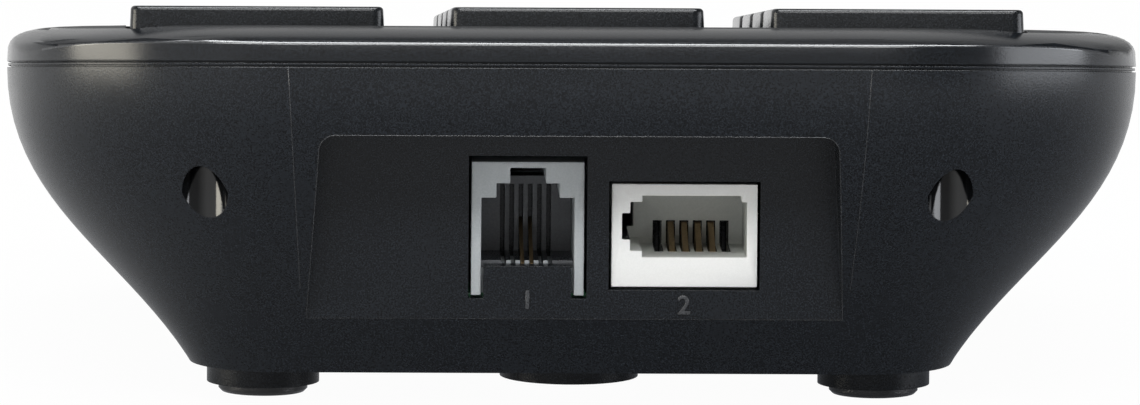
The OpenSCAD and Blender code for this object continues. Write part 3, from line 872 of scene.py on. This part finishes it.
# %% Its flange, hollow and plunger
FLANGE_HEIGHT = 1.0 * MM
FLANGE_CORNER = 4.0 * MM
KEY_WALL = 1.5 * MM
KEY_SKIN = 1.8 * MM
PLUNGER_RADIUS = 3.5 * MM
PLUNGER_SIDES = 48

flange_top = key_low.z + FLANGE_HEIGHT
flange = rounded_slab("flange", flange_size.x, flange_size.y, FLANGE_CORNER, key_low.z, flange_top)
combine(pattern, flange, "UNION")
hollow_top = key_high.z - KEY_SKIN
hollow = rounded_slab("hollow", cap_width - 2 * KEY_WALL, cap_depth - 2 * KEY_WALL, KEY_CORNER,
                      key_low.z - KEY_WALL, hollow_top)
combine(pattern, hollow, "DIFFERENCE")
plunger_height = hollow_top + KEY_SKIN / 2 - key_low.z
deselect_all()
bpy.ops.mesh.primitive_cylinder_add(radius=PLUNGER_RADIUS, depth=plunger_height, vertices=PLUNGER_SIDES,
                                    location=(0, 0, key_low.z + plunger_height / 2))
combine(pattern, bpy.context.object, "UNION")
print(f"one key: {len(pattern.data.polygons)} faces")

# %% Copy the key to its places
for name in KEY_NAMES:
    cap = bpy.data.objects.new(name + "_cap", pattern.data.copy())
    bpy.context.scene.collection.objects.link(cap)
    settle(cap, to_world @ Matrix.Translation(middle_at(*deck_box(name), 0)))
    shade(cap)
    dress(cap, KEY_PLASTIC, DECK_PLASTIC)
    for face in cap.data.polygons:
        face.material_index = DULL if faces_up(face) else 0
    stand_for(cap, name, name)
bpy.data.objects.remove(pattern)
print(f"{len(KEY_NAMES)} keys placed")

# %% [markdown]
# ## The rubber mat
#
# One moulded sheet lies under all the keys, with a dome for each that folds when the key goes down. One
# piece could not fold in twelve places by itself. A copy is therefore cut just above the sheet, and each
# dome becomes a piece of its own, named after the key above it.

# %% Cut the mat into its sheet and domes
MAT_SHEET = 1.2 * MM
CUT_ABOVE = 0.02 * MM
BLOCK_HEIGHT = 5.0 * MM
mat_low, mat_high = deck_box("key_mat")
dome_base = mat_low.z + MAT_SHEET + CUT_ABOVE


def cut_mat(name, operation):
    piece = welded_copy("key_mat", name)
    block = rounded_slab("block", CASE_WIDTH, CASE_DEPTH, CORNER_RADIUS, dome_base, dome_base + BLOCK_HEIGHT)
    settle(block, to_world)
    combine(piece, block, operation)
    return piece


sheet = cut_mat("key_mat_sheet", "DIFFERENCE")
shade(sheet)
dress(sheet, MAT_RUBBER)
stand_for(sheet, "key_mat", "case")
edit(cut_mat("key_mat_domes", "INTERSECT"))
bpy.ops.mesh.separate(type="LOOSE")
bpy.ops.object.mode_set(mode="OBJECT")
domes = list(bpy.context.selected_objects)
print(f"{len(domes)} domes, each {(mat_high.z - dome_base) / MM:.2f} mm high")

# %% Name each dome after its key
for joint in frame["joints"]:
    under_key = to_world @ middle_at(*deck_box(joint["child"]), dome_base)
    dome = min(domes, key=lambda piece: (piece.data.vertices[0].co - under_key).length)
    dome.name = joint["child"] + "_dome"
    shade(dome)
    dress(dome, MAT_RUBBER)
    stand_for(dome, "key_mat", "case")
    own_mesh(dome)

# %% [markdown]
# ## Key numerals
#
# Large pale numerals are printed on the keys. A texture could draw them, but a mesh keeps a clean edge
# at any distance. A text object gives the outlines, a little bolder than the font's; it is made a mesh
# first, then laid on the key's dished top, a hair above it, so that it moves with its key. The nine is
# a six turned round, because the bolder nine does not fill.

# %% Text as a mesh
def text_mesh(words, size, thickness, name, weight=0.0, edge=0.0):
    """Text as a mesh, centred on its own outline and lying in the XY plane."""
    deselect_all()
    bpy.ops.object.text_add(location=(0, 0, 0))
    text = bpy.context.object
    text.name = name
    text.data.body = words
    text.data.size = size
    text.data.offset = weight
    text.data.extrude = thickness / 2
    text.data.bevel_depth = edge
    bpy.ops.object.convert(target="MESH")
    text = bpy.context.object
    xs = [vertex.co.x for vertex in text.data.vertices]
    ys = [vertex.co.y for vertex in text.data.vertices]
    middle = Vector(((min(xs) + max(xs)) / 2, (min(ys) + max(ys)) / 2, -thickness / 2))
    text.data.transform(Matrix.Translation(-middle))
    edit(text)
    bpy.ops.mesh.remove_doubles(threshold=WELD)
    bpy.ops.object.mode_set(mode="OBJECT")
    return text


# %% Print the numerals
LEGENDS = {"key_star": "*", "key_hash": "#"}
NUMERAL_SIZE = 11.0 * MM
NUMERAL_WEIGHT = 0.06 * MM
STAR_SIZE = 17.0 * MM
PRINT_HEIGHT = 0.03 * MM
DISH_DEPTH = -sum(downward for _, downward in DISH_STEPS)

for name in KEY_NAMES:
    words = LEGENDS.get(name, name[-1])
    size = STAR_SIZE if words == "*" else NUMERAL_SIZE
    upside_down = words == "9"
    outline = "6" if upside_down else words
    numeral = text_mesh(outline, size, PRINT_HEIGHT, name + "_numeral", weight=NUMERAL_WEIGHT)
    low, high = deck_box(name)
    middle = Matrix.Translation(middle_at(low, high, high.z - DISH_DEPTH))
    settle(numeral, to_world @ middle @ Matrix.Rotation(math.pi if upside_down else 0.0, 4, "Z"))
    dress(numeral, PRINT_WHITE)
    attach(numeral, name)
print(f"{len(KEY_NAMES)} numerals printed")

# %% [markdown]
# ## Marks under the jacks
#
# Small raised numbers under the two openings tell them apart. They stand a fifth of a millimetre out of the
# panel, as moulded marks do, with a fine bevel. Their finish is a paler black than the wall, a painted
# highlight, so that their edges show.

# %% Raise the marks
MARK_SIZE = 2.9 * MM
MARK_HEIGHT = 0.2 * MM
MARK_EDGE = 0.07 * MM
PANEL_SETBACK = 0.3 * MM
LINE_MARK_DROP = 0.4 * MM
SOCKET_MARK_DROP = 0.9 * MM
line_low, line_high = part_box("line_jack")
panel_y = line_high.y + PANEL_SETBACK
facing_rear = Matrix.Rotation(math.pi, 4, "Z") @ Matrix.Rotation(math.pi / 2, 4, "X")
MARK_PLACES = {
    "1": Vector(((line_low.x + line_high.x) / 2, panel_y, line_low.z - LINE_MARK_DROP)),
    "2": Vector(((socket_low.x + socket_high.x) / 2, panel_y, line_low.z - SOCKET_MARK_DROP)),
}
for words, place in MARK_PLACES.items():
    mark = text_mesh(words, MARK_SIZE, MARK_HEIGHT, "jack_mark_" + words, edge=MARK_EDGE)
    settle(mark, Matrix.Translation(place) @ facing_rear)
    dress(mark, MARK_PAINTED_HIGHLIGHT)
    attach(mark, "case")
print(f"{len(MARK_PLACES)} marks raised under the jacks")

# %% [markdown]
# ## Hairlines from the mould, and the recess's painted highlight
#
# Where two parts of the mould met, a hairline runs down the rear wall on each side of the panel. A bead
# along the recess's edge stands for that edge's highlight. A bump could draw them, but only geometry shows
# from the side. A copy of the shell is cut by a nearly upright plane, or stripped to the recess's edges; the
# lines that are left become thin round beads. All of them take the marks' paler black, a painted highlight.

# %% Beads from edges
HAIRLINE = 0.05 * MM
REARWARD = 0.3


def bead(line):
    """Turns a piece made of bare edges into a thin round bead on the case."""
    work_on(line)
    bpy.ops.object.convert(target="CURVE")
    line = bpy.context.object
    line.data.bevel_depth = HAIRLINE
    line.data.bevel_resolution = 1
    bpy.ops.object.convert(target="MESH")
    line = bpy.context.object
    shade(line, math.pi)
    # The paler black is a painted highlight.
    dress(line, MARK_PAINTED_HIGHLIGHT)
    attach(line, "case")
    print(f"{line.name}: {len(line.data.vertices)} points")


def keep_vertices(line, wanted):
    """Deletes every point of a piece that isn't wanted."""
    deselect_all()
    unmark(line.data)
    for vertex in line.data.vertices:
        vertex.select = not wanted(vertex.co)
    edit_marked(line, "VERT")
    bpy.ops.mesh.delete(type="VERT")
    bpy.ops.object.mode_set(mode="OBJECT")


def on_rear_wall(point):
    normal = wall_normal(point)
    return normal is not None and normal.y > REARWARD


# %% Witness lines down the wall
WITNESS_X = 31.6 * MM
WITNESS_TOP = 39.0 * MM
WITNESS_END = 14.0 * MM
WITNESS_LEAN = 0.06
for side in (1, -1):
    line = welded_copy("lower_shell", "witness_line_" + ("left" if side > 0 else "right"))
    edit(line)
    bpy.ops.mesh.select_mode(type="VERT")
    bpy.ops.mesh.bisect(plane_co=(side * WITNESS_X, 0, WITNESS_TOP),
                        plane_no=(1, 0, -side * WITNESS_LEAN), clear_outer=True)
    bpy.ops.mesh.select_all(action="INVERT")
    bpy.ops.mesh.delete(type="VERT")
    keep_vertices(line, lambda point: on_rear_wall(point) and point.z > WITNESS_END)
    bead(line)

# %% The recess's edge, a painted highlight
RECESS_HALF = 30.8 * MM
SHARP_EDGE = math.radians(30)
recess_line = welded_copy("lower_shell", "recess_painted_highlight")
edit(recess_line, "DESELECT")
bpy.ops.mesh.select_mode(type="EDGE")
bpy.ops.mesh.edges_select_sharp(sharpness=SHARP_EDGE)
bpy.ops.mesh.select_all(action="INVERT")
bpy.ops.mesh.delete(type="EDGE")
bpy.ops.object.mode_set(mode="OBJECT")
keep_vertices(recess_line, lambda point: on_rear_wall(point) and abs(point.x) < RECESS_HALF)
bead(recess_line)

# %% [markdown]
# ## The floor
#
# The photograph has a pure white ground. Lamps strong enough to make paper that white would wash out the
# black case, so only camera rays see white, and the light that falls on the object meets plain pale paper.
# Mirrors see a third thing: a glowing ground with a painted shadow near the case, paler further off, and a
# painted light brightest to one side.

# %% Pale paper
FLOOR_SIZE = 30.0
PAPER_CLOUD = 0.4
PAPER_DARK = (0.8, 0.8, 0.8)
PAPER_LIGHT = (0.84, 0.84, 0.84)
deselect_all()
bpy.ops.mesh.primitive_plane_add(size=FLOOR_SIZE, location=(0, 0, 0))
floor = bpy.context.object
floor.name = "floor"
paper = Finish("floor_white")
paper.set({
    "Base Color": paper.tint(paper.noise(PAPER_CLOUD), PAPER_DARK, PAPER_LIGHT),
    "Roughness": 0.9,
    "Specular IOR Level": 0.1,
})
dress(floor, paper.material)
print(f"a floor {FLOOR_SIZE:.0f} m wide")

# %% The painted ground that mirrors see
BRIGHT_SIDE = (0.55, -0.83, 0.0)
SWEEP_START = -0.85
SWEEP_END = 1.0
RING_NEAR = 0.06
RING_MIDDLE = 0.2
RING_FAR = 0.8
NEAR_RISE = 0.3
FAR_RISE = 0.7
SWEEP_AT_CASE = 0.35
SWEEP_RISE = 0.65
PAINTED_SHADOW_GROUND = (0.2, 0.21, 0.23)
OPEN_GROUND = (0.95, 0.97, 1.02)
PAINTED_LIGHT_GROUND = (1.25, 1.25, 1.25, 1)
# This ground glows for glossy rays: a painted shadow near the case, a painted light to one side.
spot = paper.add("ShaderNodeVectorMath", {"operation": "NORMALIZE"}, {0: paper.place})
facing = {0: spot, 1: BRIGHT_SIDE}
towards = paper.add("ShaderNodeVectorMath", {"operation": "DOT_PRODUCT"}, facing, out="Value")
away = paper.add("ShaderNodeVectorMath", {"operation": "LENGTH"}, {0: paper.place}, out="Value")
sweep = paper.ramp(towards, SWEEP_START, SWEEP_END)
far = paper.ramp(away, RING_NEAR, RING_MIDDLE)
further = paper.ramp(away, RING_MIDDLE, RING_FAR)
ground = paper.tint(far * NEAR_RISE + further * FAR_RISE, PAINTED_SHADOW_GROUND, OPEN_GROUND)
painted_mirrored_ground = paper.mix(sweep * (SWEEP_AT_CASE + far * SWEEP_RISE), ground, PAINTED_LIGHT_GROUND)
print(f"the mirrored ground pales over {RING_FAR:.1f} m")

# %% White to the camera
SEEN_WHITE = 0.97
SEEN_MIRRORED = 0.9
seen = paper.add("ShaderNodeLightPath", out="Is Camera Ray")
mirrored = paper.add("ShaderNodeLightPath", out="Is Glossy Ray")
white = paper.add("ShaderNodeEmission", None, {"Color": (1, 1, 1, 1)})
painted_ground_glow = paper.add("ShaderNodeEmission", None, {"Color": painted_mirrored_ground})
lit = Wire(paper, paper.shader.outputs[0])
shown = paper.add("ShaderNodeMixShader", None, {0: seen * SEEN_WHITE, 1: lit, 2: white})
shown = paper.add("ShaderNodeMixShader", None, {0: mirrored * SEEN_MIRRORED, 1: shown, 2: painted_ground_glow})
paper.feed(paper.tree.nodes["Material Output"], {"Surface": shown})
print("the floor shows white to the camera")

# %% [markdown]
# ## The room
#
# The world stands for the walls of a studio. The camera sees them white, soft light takes a part of
# that, and mirrors see walls that are brighter at the picture's left, under a dark ceiling, so that the
# lamps stand out in the gloss.

# %% World
WORLD_LIGHT = 0.3
MIRRORED_DIM = 0.3
MIRRORED_BRIGHT = 0.95
SIDE_REACH = 0.35
CEILING_START = 0.5
CEILING_END = 0.78
DARK_ABOVE = 0.12
world = bpy.data.worlds.new("studio")
bpy.context.scene.world = world
world.use_nodes = True
studio = Graph(world.node_tree)
direction = studio.add("ShaderNodeTexCoord", out="Generated")
leftward = studio.add("ShaderNodeSeparateXYZ", None, {0: direction}, out="X")
height = studio.add("ShaderNodeSeparateXYZ", None, {0: direction}, out="Z")
walls = studio.ramp(leftward, -SIDE_REACH, SIDE_REACH, MIRRORED_DIM, MIRRORED_BRIGHT)
mirror_light = walls * studio.ramp(height, CEILING_START, CEILING_END, 1.0, DARK_ABOVE)
diffuse_ray = studio.add("ShaderNodeLightPath", out="Is Diffuse Ray")
glossy_ray = studio.add("ShaderNodeLightPath", out="Is Glossy Ray")
strength = 1.0 - diffuse_ray * (1 - WORLD_LIGHT) - glossy_ray * (1.0 - mirror_light)
studio.feed(world.node_tree.nodes["Background"], {"Color": (1, 1, 1, 1), "Strength": strength})
print(f"the room gives {WORLD_LIGHT:.1f} of its white as soft light")

# %% [markdown]
# ## Lamps
#
# Large soft boxes light the case as in a product studio. One hangs high between the camera and the case.
# A long strip overhead shows only in the gloss, where it draws the bright line along the crease; the box
# beside it gives only soft light. A warm and a cool box at the sides model the round corners.

# %% Hang the lamps
LAMP_AIM = Vector((0, 0, 0.03))


def softbox(name, place, size, watts, colour):
    lamp = bpy.data.lights.new(name, "AREA")
    lamp.shape = "RECTANGLE"
    lamp.size, lamp.size_y = size
    lamp.energy = watts
    lamp.color = colour
    holder = bpy.data.objects.new(name, lamp)
    bpy.context.scene.collection.objects.link(holder)
    holder.location = place
    holder.rotation_mode = "QUATERNION"
    holder.rotation_quaternion = (LAMP_AIM - Vector(place)).to_track_quat("-Z", "Y")
    print(f"{name}: {watts} W")
    return holder


softbox("front_box", (0.1, 0.95, 0.8), (0.9, 0.28), 9.8, (0.98, 0.99, 1.0))
strip = softbox("strip_box", (0.0, 0.3, 1.2), (1.6, 0.45), 45, (0.97, 0.99, 1.0))
strip.visible_diffuse = False
overhead = softbox("top_box", (0.0, -0.2, 1.3), (1.0, 0.6), 8, (0.96, 0.98, 1.0))
overhead.visible_glossy = False
softbox("left_box", (1.18, 0.23, 0.18), (0.72, 0.34), 6.6, (1.0, 0.95, 0.82))
softbox("right_box", (-1.19, 0.23, 0.18), (1.0, 0.34), 6.0, (0.92, 0.95, 1.0))

# %% [markdown]
# ## Finish
#
# The colours are shown as written.

# %% Standard view
bpy.context.scene.view_settings.view_transform = "Standard"
